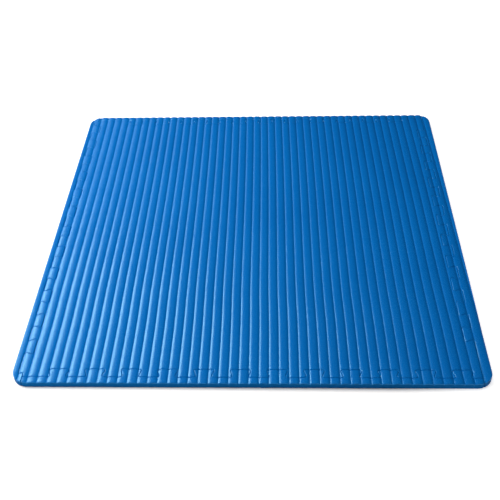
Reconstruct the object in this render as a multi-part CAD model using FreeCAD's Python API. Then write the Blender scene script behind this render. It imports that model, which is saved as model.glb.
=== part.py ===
"""Ribbed foam floor tile with jigsaw edges and four border strips that finish it off.

Millimetres, +Z up, ribs along Y.  The origin is the middle of the underside, the
front border strip is on the -Y side and the left one on the -X side.
"""

import FreeCAD, Part
import math
import os

# Whole mat, with its border strips fitted
mat_side = 1000.0
crown_height = 15.0
outer_corner_radius = 34.0

# Ribs: arched lands between narrow grooves, all parallel to Y
rib_pitch = 21.0
rib_count = 47
rib_height = 2.0
groove_floor = 0.8
groove_height = crown_height - rib_height

# Jigsaw cut between tile and strips
tab_pitch = 76.5
tab_tip_width = 47.5
tab_root_width = tab_pitch - tab_tip_width
tab_depth = rib_pitch
tab_corner_radius = 5.0
plain_corner_radius = 1.0
cut_gap = 0.3

# Distance from the mat's outer edge to the tips of the tile's tabs.  On the left and
# right the cut runs along the rib grooves.
left_rim = mat_side - rib_count * rib_pitch
right_rim = rib_pitch
end_rim = 16.0

# The left strip's ends wrap round the tile's corners with a small foot
foot_width = 24.0
foot_length = 25.5

half_side = mat_side / 2
tile_left = -half_side + left_rim
tile_right = half_side - right_rim
tile_front = -half_side + end_rim
tile_back = half_side - end_rim
foot_x = -half_side + foot_width
foot_y = half_side - foot_length

# Sockets lie a quarter pitch off the middle of a side, to one hand on the front and left
# and to the other hand on the right and back, so that equal tiles interlock.
front_left_sockets = [m * tab_pitch - tab_pitch / 4 for m in range(-5, 7)]
right_back_sockets = [m * tab_pitch + tab_pitch / 4 for m in range(-5, 6)]


def socket_points(centre, to_side):
    """Four corners of one dovetail socket, along the side that to_side places it on."""
    root, tip = tab_root_width / 2, tab_tip_width / 2
    mouth_to_mouth = [(centre - root, 0.0), (centre - tip, tab_depth),
                      (centre + tip, tab_depth), (centre + root, 0.0)]
    return [(*to_side(along, inward), tab_corner_radius) for along, inward in mouth_to_mouth]


def jigsaw_side(centres, to_side):
    """Points of one side of the tile, socket after socket."""
    points = []
    for centre in centres:
        points += socket_points(centre, to_side)
    return points


def plain_corners(*places):
    """Points of an outline where it only turns a corner."""
    return [(x, y, plain_corner_radius) for x, y in places]


def tile_outline():
    """The jigsaw cut as (x, y, corner radius), anticlockwise from the front left corner."""
    front = jigsaw_side(front_left_sockets, lambda s, t: (s, tile_front + t))
    right = jigsaw_side(right_back_sockets, lambda s, t: (tile_right - t, s))
    back = jigsaw_side(right_back_sockets, lambda s, t: (s, tile_back - t))
    left = jigsaw_side(front_left_sockets, lambda s, t: (tile_left + t, s))
    return (
        plain_corners((tile_left, -foot_y), (foot_x, -foot_y), (foot_x, tile_front))
        + front
        + plain_corners((tile_right, tile_front))
        + right
        + plain_corners((tile_right, tile_back))
        + back[::-1]
        + plain_corners((foot_x, tile_back), (foot_x, foot_y), (tile_left, foot_y))
        + left[::-1]
    )


def mat_outline():
    """Square outline of the whole mat as (x, y, corner radius)."""
    signs = [(-1, -1), (1, -1), (1, 1), (-1, 1)]
    return [(i * half_side, j * half_side, outer_corner_radius) for i, j in signs]


def grown(points, distance):
    """The same anticlockwise outline with every edge moved outwards by distance."""
    corners = [FreeCAD.Vector(x, y, 0) for x, y, radius in points]
    moved = []
    for i, corner in enumerate(corners):
        before = (corner - corners[i - 1]).normalize()
        after = (corners[(i + 1) % len(corners)] - corner).normalize()
        out = FreeCAD.Vector(before.y + after.y, -before.x - after.x, 0)
        shift = corner + out * (distance / (1 + before.dot(after)))
        moved.append((shift.x, shift.y, points[i][2]))
    return moved


def corner_arc(before, corner, after, radius):
    """Start, middle and end of the arc that rounds a corner, smaller where the edges are short."""
    back, ahead = before - corner, after - corner
    half_angle = back.getAngle(ahead) / 2
    room = 0.45 * min(back.Length, ahead.Length)
    trim = min(radius / math.tan(half_angle), room)
    fitted = trim * math.tan(half_angle)
    back.normalize()
    ahead.normalize()
    to_centre = (back + ahead).normalize()
    centre = corner + to_centre * (fitted / math.sin(half_angle))
    return corner + back * trim, centre - to_centre * fitted, corner + ahead * trim


def rounded_face(points):
    """Flat face inside a closed outline whose corners are all rounded."""
    corners = [FreeCAD.Vector(x, y, 0) for x, y, radius in points]
    arcs = []
    for i, (x, y, radius) in enumerate(points):
        arcs.append(corner_arc(corners[i - 1], corners[i], corners[(i + 1) % len(points)], radius))
    edges = []
    for i, (start, middle, end) in enumerate(arcs):
        edges.append(Part.LineSegment(arcs[i - 1][2], start).toShape())
        edges.append(Part.Arc(start, middle, end).toShape())
    return Part.Face(Part.Wire(edges))


def ribbed_sheet():
    """The ribbed foam sheet that every piece is cut from, a little wider than the mat on the left."""
    def at(x, z):
        return FreeCAD.Vector(x, -half_side, z)

    start = tile_left - rib_pitch
    end = half_side
    edges = [Part.LineSegment(at(start, 0), at(start, groove_height)).toShape()]
    for i in range(rib_count + 1):
        left = start + i * rib_pitch
        rise = left + groove_floor / 2
        fall = left + rib_pitch - groove_floor / 2
        crown = at(left + rib_pitch / 2, crown_height)
        edges += [
            Part.LineSegment(at(left, groove_height), at(rise, groove_height)).toShape(),
            Part.Arc(at(rise, groove_height), crown, at(fall, groove_height)).toShape(),
            Part.LineSegment(at(fall, groove_height), at(left + rib_pitch, groove_height)).toShape(),
        ]
    edges += [
        Part.LineSegment(at(end, groove_height), at(end, 0)).toShape(),
        Part.LineSegment(at(end, 0), at(start, 0)).toShape(),
    ]
    section = Part.Face(Part.Wire(edges))
    return section.extrude(FreeCAD.Vector(0, mat_side, 0))


def punched(face):
    """Blank with a given outline, through the whole thickness of the sheet."""
    return face.extrude(FreeCAD.Vector(0, 0, crown_height + 1))


def butt_cuts():
    """Knife cuts where the front and back strips meet the side strips."""
    cuts = []
    cut_length = end_rim + plain_corner_radius
    for x in (foot_x, tile_right):
        for y in (-half_side, half_side - cut_length):
            corner = FreeCAD.Vector(x - cut_gap / 2, y, 0)
            cuts.append(Part.makeBox(cut_gap, cut_length, crown_height + 1, corner))
    return cuts


def centre_tile(sheet):
    """Ribbed tile with dovetail tabs on all four sides."""
    blank = punched(rounded_face(grown(tile_outline(), -cut_gap / 2)))
    return sheet.common(blank)


def border_strips(sheet):
    """The four strips round the tile, by node name."""
    whole = punched(rounded_face(mat_outline()))
    opening = punched(rounded_face(grown(tile_outline(), cut_gap / 2)))
    ring = whole.cut([opening] + butt_cuts())
    strips = {}
    for blank in ring.Solids:
        middle = blank.CenterOfMass
        if abs(middle.x) > abs(middle.y):
            name = "left_border" if middle.x < 0 else "right_border"
        else:
            name = "front_border" if middle.y < 0 else "back_border"
        strips[name] = sheet.common(blank)
    return strips


def main():
    os.makedirs("parts", exist_ok=True)
    sheet = ribbed_sheet()
    pieces = {"centre_tile": centre_tile(sheet)}
    pieces.update(border_strips(sheet))
    for name, shape in pieces.items():
        solid = shape.Solids[0]
        print(name, "solids", len(shape.Solids), "valid", solid.isValid(),
              "volume_cm3", round(solid.Volume / 1000, 2))
        solid.exportStep(os.path.join("parts", name + ".step"))


main()
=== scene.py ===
import math
import bmesh
import bpy
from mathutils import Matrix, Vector, noise


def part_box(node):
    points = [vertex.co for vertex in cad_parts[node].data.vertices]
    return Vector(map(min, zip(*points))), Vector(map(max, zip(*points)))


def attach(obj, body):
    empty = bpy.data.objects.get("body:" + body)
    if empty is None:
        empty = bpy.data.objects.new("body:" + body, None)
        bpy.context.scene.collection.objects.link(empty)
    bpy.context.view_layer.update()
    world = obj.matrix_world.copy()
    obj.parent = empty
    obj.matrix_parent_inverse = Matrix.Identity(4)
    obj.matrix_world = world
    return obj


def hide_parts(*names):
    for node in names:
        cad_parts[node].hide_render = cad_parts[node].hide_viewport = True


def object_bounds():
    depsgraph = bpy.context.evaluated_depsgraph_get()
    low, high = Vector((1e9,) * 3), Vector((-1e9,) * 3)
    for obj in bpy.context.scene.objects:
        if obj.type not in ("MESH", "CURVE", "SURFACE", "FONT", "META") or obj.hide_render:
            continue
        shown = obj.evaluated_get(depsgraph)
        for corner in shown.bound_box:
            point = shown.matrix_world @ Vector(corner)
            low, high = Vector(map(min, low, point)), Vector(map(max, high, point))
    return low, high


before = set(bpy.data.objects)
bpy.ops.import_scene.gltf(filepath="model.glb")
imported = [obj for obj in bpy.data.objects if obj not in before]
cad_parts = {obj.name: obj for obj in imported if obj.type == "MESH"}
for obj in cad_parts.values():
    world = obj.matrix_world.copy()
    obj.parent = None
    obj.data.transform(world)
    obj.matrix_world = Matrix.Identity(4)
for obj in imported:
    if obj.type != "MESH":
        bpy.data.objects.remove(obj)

# Metres throughout. The CAD model's box is taken before anything is added.
cadLow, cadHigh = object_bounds()
tileLow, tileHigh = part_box("centre_tile")
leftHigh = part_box("left_border")[1]
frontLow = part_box("front_border")[0]


class Wire:
    # A shader socket that plain arithmetic works on. Each operator adds a Math node.
    # One without a socket only starts a tree.
    def __init__(self, tree, socket=None):
        self.tree = tree
        self.socket = socket

    def node(self, kind, settings, sockets, output=0):
        made = self.tree.nodes.new(kind)
        for name, value in settings.items():
            setattr(made, name, value)
        for name, value in sockets.items():
            if isinstance(value, Wire):
                self.tree.links.new(value.socket, made.inputs[name])
            else:
                made.inputs[name].default_value = value
        return Wire(self.tree, made.outputs[output])

    def maths(self, operation, first, second):
        return self.node("ShaderNodeMath", {"operation": operation}, {0: first, 1: second})

    def __add__(self, other):
        return self.maths("ADD", self, other)

    def __radd__(self, other):
        return self.maths("ADD", other, self)

    def __sub__(self, other):
        return self.maths("SUBTRACT", self, other)

    def __rsub__(self, other):
        return self.maths("SUBTRACT", other, self)

    def __mul__(self, other):
        return self.maths("MULTIPLY", self, other)

    def __rmul__(self, other):
        return self.maths("MULTIPLY", other, self)

    def blend(self, first, second):
        # first where this value is 0, second where it is 1; 6, 7 and 2 are the colour sockets
        return self.node("ShaderNodeMix", {"data_type": "RGBA"}, {0: self, 6: first, 7: second}, 2)


def noiseField(place, scale, detail, output=0):
    return place.node("ShaderNodeTexNoise", {},
                      {"Vector": place, "Scale": scale, "Detail": detail}, output)


def smoothRamp(value, low, high):
    # 0 below low, 1 above high and a smooth rise between them
    return value.node("ShaderNodeMapRange", {"interpolation_type": "SMOOTHSTEP"},
                      {"Value": value, "From Min": low, "From Max": high})


def newMaterial(name):
    material = bpy.data.materials.new(name)
    material.use_nodes = True
    tree = material.node_tree
    tree.nodes.clear()
    return material, Wire(tree)


def finishMaterial(wire, shader):
    output = wire.tree.nodes.new("ShaderNodeOutputMaterial")
    wire.tree.links.new(shader.socket, output.inputs["Surface"])


def addObject(name, data):
    made = bpy.data.objects.new(name, data)
    bpy.context.scene.collection.objects.link(made)
    return made


def addMesh(name, bm, materials):
    mesh = bpy.data.meshes.new(name)
    bm.to_mesh(mesh)
    bm.free()
    for material in materials:
        mesh.materials.append(material)
    return addObject(name, mesh)


foamSkin = {
    "colour": (0.0002, 0.140, 0.46, 1.0),
    "wornColour": (0.008, 0.225, 0.61, 1.0),  # on the rims, where the cut has rubbed
    "deepColour": (0.0001, 0.114, 0.40, 1.0),  # in dull patches, and as painted shade in the hollows between the grains
    "patchScale": 4.0,
    "patchDetail": 3.0,
    "patchContrast": 0.9,
    "grainScale": 620.0,
    "grainBendScale": 180.0,
    "grainBendDetail": 1.0,
    "grainBend": 0.0016,  # how far the grains are pulled out of shape
    "grainSlope": 0.22,  # how far in from its edge a grain rises
    "grainHollowShade": 0.25,  # share of the deep colour at a grain's edge, painted shade in the hollows between the grains
    "fineScale": 2400.0,
    "fineDetail": 2.0,
    "mottleScale": 240.0,
    "mottleDetail": 1.0,
    "grainHeight": 0.00006,
    "fineShare": 0.5,  # height of the fine grain, as a share of the grain's
    "mottleShare": 4.5,
    "bumpStrength": 0.5,
    "worn": 0.35,  # how much of the worn colour covers a rim evenly
    "wornFlecks": 0.5,  # and how much in flecks
    "roughness": 0.22,
    "roughnessSpread": 0.08,
    "shine": 1.0,
    "shineTint": (0.37, 0.87, 0.95, 1.0),
}


def makeFoamSkin():
    material, wire = newMaterial("moulded_foam_skin")
    place = wire.node("ShaderNodeTexCoord", {}, {}, "Object")
    patches = noiseField(place, foamSkin["patchScale"], foamSkin["patchDetail"])
    bend = noiseField(place, foamSkin["grainBendScale"], foamSkin["grainBendDetail"], "Color")
    bentPlace = wire.node("ShaderNodeVectorMath", {"operation": "MULTIPLY_ADD"},
                          {0: bend, 1: (foamSkin["grainBend"],) * 3, 2: place})
    grains = wire.node("ShaderNodeTexVoronoi", {"feature": "DISTANCE_TO_EDGE"},
                       {"Vector": bentPlace, "Scale": foamSkin["grainScale"]})
    crowns = smoothRamp(grains, 0.0, foamSkin["grainSlope"])
    fine = noiseField(place, foamSkin["fineScale"], foamSkin["fineDetail"])
    mottle = noiseField(place, foamSkin["mottleScale"], foamSkin["mottleDetail"])
    rim = wire.node("ShaderNodeAttribute", {"attribute_name": "rim"}, {}, "Fac")

    patchy = (patches - 0.5) * foamSkin["patchContrast"] + 0.5
    patchColour = patchy.blend(foamSkin["deepColour"], foamSkin["colour"])
    # painted shade: the hollows between the raised grains are coloured darker than the crowns
    raised = 1 - foamSkin["grainHollowShade"] + foamSkin["grainHollowShade"] * crowns
    grainHollowShadeColour = raised.blend(foamSkin["deepColour"], patchColour)
    worn = rim * (foamSkin["worn"] + foamSkin["wornFlecks"] * fine)
    bump = wire.node("ShaderNodeBump", {}, {
        "Strength": foamSkin["bumpStrength"],
        "Distance": foamSkin["grainHeight"],
        "Height": crowns + fine * foamSkin["fineShare"] + mottle * foamSkin["mottleShare"],
    })
    spread = foamSkin["roughnessSpread"]
    shader = wire.node("ShaderNodeBsdfPrincipled", {}, {
        "Base Color": worn.blend(grainHollowShadeColour, foamSkin["wornColour"]),
        "Roughness": foamSkin["roughness"] + (1 - crowns) * spread + (patches - 0.5) * spread,
        "Specular IOR Level": foamSkin["shine"],
        "Specular Tint": foamSkin["shineTint"],
        "Normal": bump,
    })
    finishMaterial(wire, shader)
    return material


cutFoam = {
    # the same foam as the skin, coloured darker as painted shade on the upright cut sides
    "colour": (0.0004, 0.113, 0.35, 1.0),
    # painted shade in the pores' pits, also the colour that the foam's darker clouds lean to
    "pitShadeAndCloudColour": (0.0002, 0.064, 0.22, 1.0),
    "poreScale": 1500.0,
    "poreRange": (0.12, 0.4),  # from a cell's middle to its wall
    "poreDepth": 0.00008,
    "cloudScale": 60.0,
    "cloudDetail": 3.0,
    "cloudShade": 0.3,
    "knifeScale": (900.0, 900.0, 25.0),  # long upright streaks, as the knife leaves them
    "knifeDetail": 1.0,
    "knifeShare": 0.6,  # height of the streaks, as a share of the pores' depth
    "bumpStrength": 0.5,
    "roughness": 0.78,
    "roughnessSpread": 0.15,
    "shine": 0.06,
    "shineTint": (0.30, 0.80, 1.0, 1.0),
}


def makeCutFoam():
    material, wire = newMaterial("cut_foam_side")
    place = wire.node("ShaderNodeTexCoord", {}, {}, "Object")
    cells = wire.node("ShaderNodeTexVoronoi", {}, {"Vector": place, "Scale": cutFoam["poreScale"]})
    pores = smoothRamp(cells, *cutFoam["poreRange"])
    cloud = noiseField(place, cutFoam["cloudScale"], cutFoam["cloudDetail"])
    knife = wire.node("ShaderNodeMapping", {}, {"Vector": place, "Scale": cutFoam["knifeScale"]})
    streaks = noiseField(knife, 1.0, cutFoam["knifeDetail"])
    # painted shade in the pits, and clouds of the foam's own darker tone
    pitShadeAndCloud = pores * (1 - cutFoam["cloudShade"] + cutFoam["cloudShade"] * cloud)
    bump = wire.node("ShaderNodeBump", {}, {
        "Strength": cutFoam["bumpStrength"],
        "Distance": cutFoam["poreDepth"],
        "Height": pores + streaks * cutFoam["knifeShare"],
    })
    shader = wire.node("ShaderNodeBsdfPrincipled", {}, {
        "Base Color": pitShadeAndCloud.blend(cutFoam["pitShadeAndCloudColour"], cutFoam["colour"]),
        "Roughness": cutFoam["roughness"] + (cloud - 0.5) * cutFoam["roughnessSpread"],
        "Specular IOR Level": cutFoam["shine"],
        "Specular Tint": cutFoam["shineTint"],
        "Normal": bump,
    })
    finishMaterial(wire, shader)
    return material


# The jigsaw cut and the rims of the pieces that it parts
jigsaw = {
    "tabPitch": 0.0765,
    "tipWidth": 0.0475,
    "leftHanded": (12, -0.25),  # sockets on a side, and how many pitches they are off its middle
    "rightHanded": (11, 0.25),
    "firstSocket": -5,  # pitches from the side's middle
    "gap": 0.0003,
    "footLength": 0.0255,  # length of the left strip's feet along the side
    "tabRadius": 0.005,
    "tabSegments": 6,
    "plainRadius": 0.0022,
    "plainSegments": 3,
    "outerRadius": 0.034,
    "arcStep": 0.0026,  # length of a step round an outer corner
    "lipRadius": 0.0015,  # the skin rolls over where the knife went in
    "lipRings": (0.12, 0.42, 1.0, 1.4),  # shares of the lip's radius, the last one on the flat
    "heelRadius": 0.0005,
    "heelRings": (0.3, 1.0, 2.0),
}

halfGap = jigsaw["gap"] / 2
tileLeft, tileRight = tileLow.x - halfGap, tileHigh.x + halfGap
tileFront, tileBack = tileLow.y - halfGap, tileHigh.y + halfGap
footX = frontLow.x - halfGap
footY = cadHigh.y - jigsaw["footLength"]
tabDepth = leftHigh.x + halfGap - tileLeft
skinTop = cadHigh.z

# Every outline is drawn through the middle of the cuts and then pulled in by half the gap,
# so the outer sides are drawn that much too far out.
outerLeft, outerRight = cadLow.x - halfGap, cadHigh.x + halfGap
outerBack = cadHigh.y + halfGap
cornerRadius = jigsaw["outerRadius"] + halfGap


def dovetailCorners(centre, toSide):
    # corners of one socket, from mouth to mouth; toSide places (along, inwards) on a side
    root = (jigsaw["tabPitch"] - jigsaw["tipWidth"]) / 2
    tip = jigsaw["tipWidth"] / 2
    corners = [(centre - root, 0), (centre - tip, tabDepth), (centre + tip, tabDepth), (centre + root, 0)]
    return [(*toSide(along, inwards), "tab") for along, inwards in corners]


def dovetailRun(count, shift, toSide):
    # the sockets of one side in order
    run = []
    for i in range(count):
        run += dovetailCorners((i + jigsaw["firstSocket"] + shift) * jigsaw["tabPitch"], toSide)
    return run


def plainCorners(*places):
    return [(x, y, "plain") for x, y in places]


def outerCorner(sideX, sideY, start, end):
    # part of a rounded outer corner, between two bearings in degrees; one that is no
    # multiple of 90 is where a butt cut meets it
    count = max(2, round(math.radians(end - start) * cornerRadius / jigsaw["arcStep"]))
    points = []
    for i in range(count + 1):
        degrees = start + (end - start) * i / count
        bearing = math.radians(degrees)
        atButt = i in (0, count) and degrees % 90 > 0
        points.append((sideX * (outerRight - cornerRadius) + cornerRadius * math.cos(bearing),
                       sideY * (outerBack - cornerRadius) + cornerRadius * math.sin(bearing),
                       "plain" if atButt else "arc"))
    return points


# Bearings at which the butt cuts cross the rounded corners
leftButt = math.degrees(math.acos((footX - outerLeft - cornerRadius) / cornerRadius))
rightButt = math.degrees(math.acos((tileRight - outerRight + cornerRadius) / cornerRadius))

# The sockets are shifted to one hand and to the other, so that equal tiles interlock
frontRun = dovetailRun(*jigsaw["leftHanded"], lambda along, inwards: (along, tileFront + inwards))
leftRun = dovetailRun(*jigsaw["leftHanded"], lambda along, inwards: (tileLeft + inwards, along))
rightRun = dovetailRun(*jigsaw["rightHanded"], lambda along, inwards: (tileRight - inwards, along))
backRun = dovetailRun(*jigsaw["rightHanded"], lambda along, inwards: (along, tileBack - inwards))

tileOutline = (
    plainCorners((tileLeft, -footY), (footX, -footY), (footX, tileFront))
    + frontRun
    + plainCorners((tileRight, tileFront))
    + rightRun
    + plainCorners((tileRight, tileBack))
    + backRun[::-1]
    + plainCorners((footX, tileBack), (footX, footY), (tileLeft, footY))
    + leftRun[::-1]
)
leftOutline = (
    outerCorner(-1, -1, 180, 360 - leftButt)
    + plainCorners((footX, -footY), (tileLeft, -footY))
    + leftRun
    + plainCorners((tileLeft, footY), (footX, footY))
    + outerCorner(-1, 1, leftButt, 180)
)
rightOutline = (
    outerCorner(1, -1, 360 - rightButt, 360)
    + outerCorner(1, 1, 0, rightButt)
    + rightRun[::-1]
)
frontOutline = (
    outerCorner(-1, -1, 360 - leftButt, 270)
    + outerCorner(1, -1, 270, 360 - rightButt)
    + plainCorners((tileRight, tileFront))
    + frontRun[::-1]
    + plainCorners((footX, tileFront))
)
backOutline = (
    plainCorners((footX, tileBack))
    + backRun
    + plainCorners((tileRight, tileBack))
    + outerCorner(1, 1, rightButt, 90)
    + outerCorner(-1, 1, 90, leftButt)
)


# The ribbed foam sheet that all five pieces are cut from
foamSheet = {
    "ribPitch": 0.021,
    "ribHeight": 0.002,
    "grooveFloor": 0.0008,  # flat width between two ribs
    "ribPower": 2.7,  # 2 would be close to an arc, more makes flatter crowns and rounder shoulders
    "ribSteps": (0.034, 0.058, 0.095, 0.15, 0.23, 0.35, 0.5),  # shares of a pitch, to the crown
    "rowSpacing": 0.02,  # distance between cross rows of the mesh
    "snap": 0.00001,  # a slice that passes a point as near as this goes through it
    "drawn": 0.014,  # share by which the ribs draw together per metre, towards the back
    "frontShift": 0.0019,  # how far the ribs are pushed to the right near the front
    "bendPlace": -0.28,  # where they bend back
    "bendLength": 0.025,
    "backCurve": 0.016,  # how much they curl to the left towards the back
    "unevenness": 0.00012,  # height of the slow rise and fall of the skin
    # waves per metre across and along the ribs, layer of the noise and share of the height
    "waves": ((7, 5, 0.3, 1.0), (45, 16, 4.1, 0.5)),
}


def ribShift(y):
    bend = 1 + math.exp((y - foamSheet["bendPlace"]) / foamSheet["bendLength"])
    return foamSheet["frontShift"] / bend - foamSheet["backCurve"] * max(0.0, y) ** 2


def ribSqueeze(y):
    return 1 - foamSheet["drawn"] * (y - cadLow.y)


def alongRibs(x, y):
    # from a place on the mat to where it would be if the ribs ran straight
    return cadLow.x + (x - cadLow.x - ribShift(y)) / ribSqueeze(y)


def acrossMat(x, y):
    # and back again
    return cadLow.x + (x - cadLow.x) * ribSqueeze(y) + ribShift(y)


def ribDip(x):
    # how far the skin lies below the crowns at x, on straight ribs
    share = ((x - tileLeft) / foamSheet["ribPitch"]) % 1.0
    offMiddle = abs(share - 0.5) * foamSheet["ribPitch"]
    halfWidth = (foamSheet["ribPitch"] - foamSheet["grooveFloor"]) / 2
    return foamSheet["ribHeight"] * min(1.0, offMiddle / halfWidth) ** foamSheet["ribPower"]


def skinWave(x, y):
    height = 0.0
    for across, along, layer, share in foamSheet["waves"]:
        height += share * noise.noise(Vector((x * across, y * along, layer)))
    return foamSheet["unevenness"] * height


def ribPlaces(low, high):
    # where the mesh needs a line along the ribs: groove walls and steps over the crown
    groove = foamSheet["grooveFloor"] / 2 / foamSheet["ribPitch"]
    rise = (groove, *foamSheet["ribSteps"])
    steps = rise + tuple(1 - step for step in rise[-2::-1])
    first = math.floor((low - tileLeft) / foamSheet["ribPitch"])
    last = math.ceil((high - tileLeft) / foamSheet["ribPitch"])
    places = [tileLeft + (i + step) * foamSheet["ribPitch"] for i in range(first, last) for step in steps]
    return [x for x in places if low < x < high]


def rowPlaces(low, high):
    count = max(2, round((high - low) / foamSheet["rowSpacing"]))
    return [low + (high - low) * i / count for i in range(1, count)]


def sliceFaces(bm, faces, places, direction):
    # slices in the middle first and then each half, so that a slice only meets faces near it
    if not places or not faces:
        return faces
    middle = places[len(places) // 2]
    edges = {edge for face in faces for edge in face.edges}
    verts = {vert for face in faces for vert in face.verts}
    cut = bmesh.ops.bisect_plane(bm, geom=[*faces, *edges, *verts], dist=foamSheet["snap"],
                                 plane_co=direction * middle, plane_no=direction)
    low = []
    high = []
    for part in cut["geom"]:
        if isinstance(part, bmesh.types.BMFace):
            side = part.calc_center_median().dot(direction)
            (low if side < middle else high).append(part)
    low = sliceFaces(bm, low, places[:len(places) // 2], direction)
    high = sliceFaces(bm, high, places[len(places) // 2 + 1:], direction)
    return low + high


def roundCorners(bm, corners):
    # a corner's trim is how far its arc reaches along each edge
    root = (jigsaw["tabPitch"] - jigsaw["tipWidth"]) / 2
    flankAngle = math.atan2(tabDepth, jigsaw["tipWidth"] / 2 - root)
    trims = {
        "tab": (jigsaw["tabRadius"] / math.tan(flankAngle / 2), jigsaw["tabSegments"]),
        "plain": (jigsaw["plainRadius"], jigsaw["plainSegments"]),
    }
    for kind, (trim, segments) in trims.items():
        turned = [vert for vert, vertKind in corners if vertKind == kind]
        if turned:
            bmesh.ops.bevel(bm, geom=turned, offset=trim, offset_type="OFFSET", segments=segments,
                            profile=0.5, affect="VERTICES", material=-1, clamp_overlap=False)


def roundRim(bm, face, radius, rings):
    # sinks the face and brings it back in rings, which leaves a quarter round at its rim
    bmesh.ops.translate(bm, vec=-radius * face.normal, verts=face.verts)
    risen = 0.0
    for before, after in zip((0.0, *rings), rings):
        height = radius * math.sqrt(1 - max(0.0, 1 - after) ** 2)
        bmesh.ops.inset_region(bm, faces=[face], thickness=(after - before) * radius,
                               depth=height - risen, use_even_offset=True)
        risen = height


def cutBlank(bm, outline):
    # the flat underside of a piece, with half the gap taken off all round
    corners = [(bm.verts.new((x, y, 0)), kind) for x, y, kind in outline]
    bm.faces.new([vert for vert, kind in corners])
    roundCorners(bm, corners)
    blank = max(bm.faces, key=lambda face: len(face.verts))
    bmesh.ops.inset_region(bm, faces=[blank], thickness=halfGap, use_boundary=True,
                           use_even_offset=True)
    bmesh.ops.delete(bm, geom=[face for face in bm.faces if face is not blank], context="FACES")
    return blank


def raiseBlock(bm, bottom):
    # the block of foam, with a rolled lip above and a small round below
    raised = bmesh.ops.extrude_face_region(bm, geom=[bottom], use_keep_orig=True)["geom"]
    top = next(part for part in raised if isinstance(part, bmesh.types.BMFace))
    bmesh.ops.translate(bm, vec=(0, 0, skinTop), verts=top.verts)
    bmesh.ops.recalc_face_normals(bm, faces=bm.faces)
    for face in bm.faces:
        face.material_index = 0 if abs(face.normal.z) > 0.5 else 1  # skin lies flat, cuts stand
    roundRim(bm, top, jigsaw["lipRadius"], jigsaw["lipRings"])
    roundRim(bm, bottom, jigsaw["heelRadius"], jigsaw["heelRings"])


def raiseRibs(bm, rim):
    # rows across the ribs first, then lines along them while the ribs are straightened out
    skin = [face for face in bm.faces
            if face.material_index == 0 and face.calc_center_median().z > skinTop / 2]
    lowX, highX = min(vert.co.x for vert in bm.verts), max(vert.co.x for vert in bm.verts)
    lowY, highY = min(vert.co.y for vert in bm.verts), max(vert.co.y for vert in bm.verts)
    skin = sliceFaces(bm, skin, rowPlaces(lowY, highY), Vector((0, 1, 0)))
    for vert in {vert for face in skin for vert in face.verts}:
        vert.co.x = alongRibs(vert.co.x, vert.co.y)
    spare = foamSheet["ribPitch"]
    skin = sliceFaces(bm, skin, ribPlaces(lowX - spare, highX + spare), Vector((1, 0, 0)))
    for vert in {vert for face in skin for vert in face.verts}:
        vert[rim] = (skinTop - vert.co.z) / jigsaw["lipRadius"]
        vert.co.z += skinWave(vert.co.x, vert.co.y) - ribDip(vert.co.x)
        vert.co.x = acrossMat(vert.co.x, vert.co.y)


def makeFoamPiece(name, outline, node, body, materials):
    bm = bmesh.new()
    rim = bm.verts.layers.float.new("rim")  # 0 on the flat skin, 1 at the foot of the lip
    raiseBlock(bm, cutBlank(bm, outline))
    raiseRibs(bm, rim)
    for face in bm.faces:
        face.smooth = True
    for edge in bm.edges:
        edge.smooth = len({face.material_index for face in edge.link_faces}) == 1
    bmesh.ops.recalc_face_normals(bm, faces=bm.faces)
    openEdges = sum(1 for edge in bm.edges if len(edge.link_faces) != 2)
    print(name, "faces", len(bm.faces), "verts", len(bm.verts), "open edges", openEdges)

    piece = addMesh(name, bm, materials)
    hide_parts(node)
    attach(piece, body)


foamMaterials = [makeFoamSkin(), makeCutFoam()]
print("foam materials made")
makeFoamPiece("ribbed_tile", tileOutline, "centre_tile", "tile", foamMaterials)
makeFoamPiece("left_edge_strip", leftOutline, "left_border", "left_strip", foamMaterials)
makeFoamPiece("right_edge_strip", rightOutline, "right_border", "right_strip", foamMaterials)
makeFoamPiece("front_edge_strip", frontOutline, "front_border", "front_strip", foamMaterials)
makeFoamPiece("back_edge_strip", backOutline, "back_border", "back_strip", foamMaterials)

studioFloor = {
    "radius": 25.0,
    "sides": 96,
    "drop": 0.0002,  # a hair below the mat, so that the two faces don't coincide
    "colour": (0.93, 0.925, 0.915, 1.0),
    "shade": (0.90, 0.895, 0.885, 1.0),
    "fibreScale": 35.0,
    "fibreDetail": 4.0,
    "roughness": 0.85,
    "roughnessSpread": 0.1,
    "shine": 0.1,
    "glow": 0.44,  # lit from below like a light table
    "glowColour": (1.0, 0.93, 0.87, 1.0),
    "rightGlowColour": (1.42, 1.40, 1.38, 1.0),  # stronger where the lights on the left fade
    "rightGlowRange": (0.28, 0.52),
    "contactGlow": (0.0, 0.0, 0.0, 1.0),  # right beside the foam, which shades the floor
    "contactReach": 0.03,
    "contactSamples": 8,
}


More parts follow.
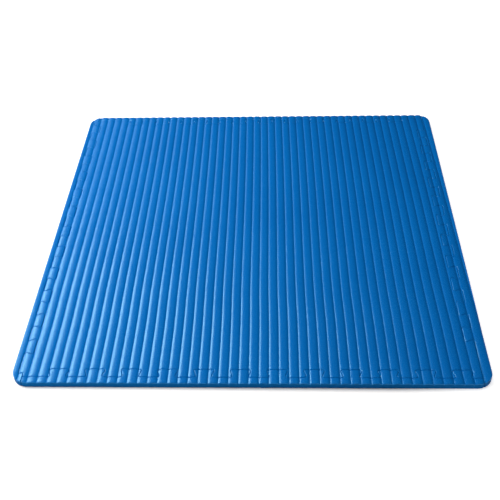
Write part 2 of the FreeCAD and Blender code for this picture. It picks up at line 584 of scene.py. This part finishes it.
def makeFloor():
    material, wire = newMaterial("pale_paper_floor")
    place = wire.node("ShaderNodeTexCoord", {}, {}, "Object")
    fibres = noiseField(place, studioFloor["fibreScale"], studioFloor["fibreDetail"])
    across = wire.node("ShaderNodeSeparateXYZ", {}, {"Vector": place})
    toRight = smoothRamp(across, *studioFloor["rightGlowRange"])
    # the share of the view upwards that no foam blocks: 1 in the open, a half against a wall
    exposed = wire.node("ShaderNodeAmbientOcclusion", {"samples": studioFloor["contactSamples"]},
                        {"Distance": studioFloor["contactReach"]}, "AO")
    dimmed = (exposed * 2 - 1).blend(studioFloor["contactGlow"], studioFloor["glowColour"])
    shader = wire.node("ShaderNodeBsdfPrincipled", {}, {
        "Base Color": fibres.blend(studioFloor["shade"], studioFloor["colour"]),
        "Roughness": studioFloor["roughness"] + fibres * studioFloor["roughnessSpread"],
        "Specular IOR Level": studioFloor["shine"],
        "Emission Color": toRight.blend(dimmed, studioFloor["rightGlowColour"]),
        "Emission Strength": studioFloor["glow"],
    })
    # clear from below, so that the underside can be looked at
    fromBelow = wire.node("ShaderNodeNewGeometry", {}, {}, "Backfacing")
    clear = wire.node("ShaderNodeBsdfTransparent", {}, {})
    finishMaterial(wire, wire.node("ShaderNodeMixShader", {}, {0: fromBelow, 1: shader, 2: clear}))

    bm = bmesh.new()
    bmesh.ops.create_circle(bm, cap_ends=True, segments=studioFloor["sides"],
                            radius=studioFloor["radius"])
    bmesh.ops.translate(bm, vec=(0, 0, -studioFloor["drop"]), verts=bm.verts)
    floor = addMesh("studio_floor", bm, [material])


makeFloor()
print("floor laid")

studioLight = {
    "skyStrength": 0.025,
    "skyColour": (0.95, 0.97, 1.0, 1.0),
    "backdropColour": (1.0, 1.0, 1.0, 1.0),
    "overheadStrength": 1.4,
    "overheadSpread": 50,  # angles in degrees
    "overheadTurn": (-15, -5, 0),
    # bearings count from straight back to the left; distances are from the mat's middle
    "panel": {"bearing": 63, "elevation": 33.8, "distance": 2.8,
              "size": (1.84, 1.35), "radiance": 6.0},
    "rearPanel": {"bearing": 32, "elevation": 22.5, "distance": 3.0,
                  "size": (1.05, 0.76), "radiance": 0.95},
    "sideStrip": {"bearing": 93, "elevation": 44.4, "distance": 1.43,
                  "size": (2.4, 0.6), "radiance": 4.2},
}


def addPanel(name, panel, glossy):
    # a softbox that faces the mat's middle
    width, height = panel["size"]
    area = bpy.data.lights.new(name, "AREA")
    area.shape = "RECTANGLE"
    area.size = width
    area.size_y = height
    area.energy = panel["radiance"] * math.pi * width * height
    bearing, elevation = math.radians(panel["bearing"]), math.radians(panel["elevation"])
    away = Vector((-math.sin(bearing) * math.cos(elevation), math.cos(bearing) * math.cos(elevation),
                   math.sin(elevation)))
    softbox = addObject(name, area)
    softbox.location = away * panel["distance"]
    softbox.rotation_euler = away.to_track_quat("Z", "Y").to_euler()
    softbox.visible_glossy = glossy


def addOverhead():
    sun = bpy.data.lights.new("overhead_softbox", "SUN")
    sun.energy = studioLight["overheadStrength"]
    sun.angle = math.radians(studioLight["overheadSpread"])
    overhead = addObject("overhead_softbox", sun)
    overhead.rotation_euler = [math.radians(turn) for turn in studioLight["overheadTurn"]]
    overhead.visible_glossy = False


def addRoom():
    # white where the camera sees past the floor, dim as a light
    world = bpy.data.worlds.new("studio_room")
    world.use_nodes = True
    world.node_tree.nodes.clear()
    wire = Wire(world.node_tree)
    room = wire.node("ShaderNodeBackground", {}, {"Color": studioLight["skyColour"],
                                                 "Strength": studioLight["skyStrength"]})
    backdrop = wire.node("ShaderNodeBackground", {}, {"Color": studioLight["backdropColour"]})
    seen = wire.node("ShaderNodeLightPath", {}, {})  # its first output is 1 for what the camera sees
    both = wire.node("ShaderNodeMixShader", {}, {0: seen, 1: room, 2: backdrop})
    output = wire.tree.nodes.new("ShaderNodeOutputWorld")
    wire.tree.links.new(both.socket, output.inputs["Surface"])
    bpy.context.scene.world = world


addOverhead()
addPanel("rear_left_panel", studioLight["panel"], True)
addPanel("rear_panel", studioLight["rearPanel"], True)
addPanel("left_strip_light", studioLight["sideStrip"], False)
addRoom()
bpy.context.scene.view_settings.view_transform = "Standard"
print("studio lit")

viewpoint = {
    "location": (0.0653, -1.5281, 1.3184),
    "rotation": (47.77, 1.59, 1.56),  # degrees
    "lens": 57.48,  # millimetres, as is the sensor
    "sensorWidth": 36.0,
}


def placeCamera():
    lens = bpy.data.cameras.new("viewpoint")
    lens.lens = viewpoint["lens"]
    lens.sensor_width = viewpoint["sensorWidth"]
    camera = addObject("viewpoint", lens)
    camera.location = viewpoint["location"]
    camera.rotation_euler = [math.radians(turn) for turn in viewpoint["rotation"]]
    bpy.context.scene.camera = camera


placeCamera()
print("camera placed")

bpy.context.view_layer.update()
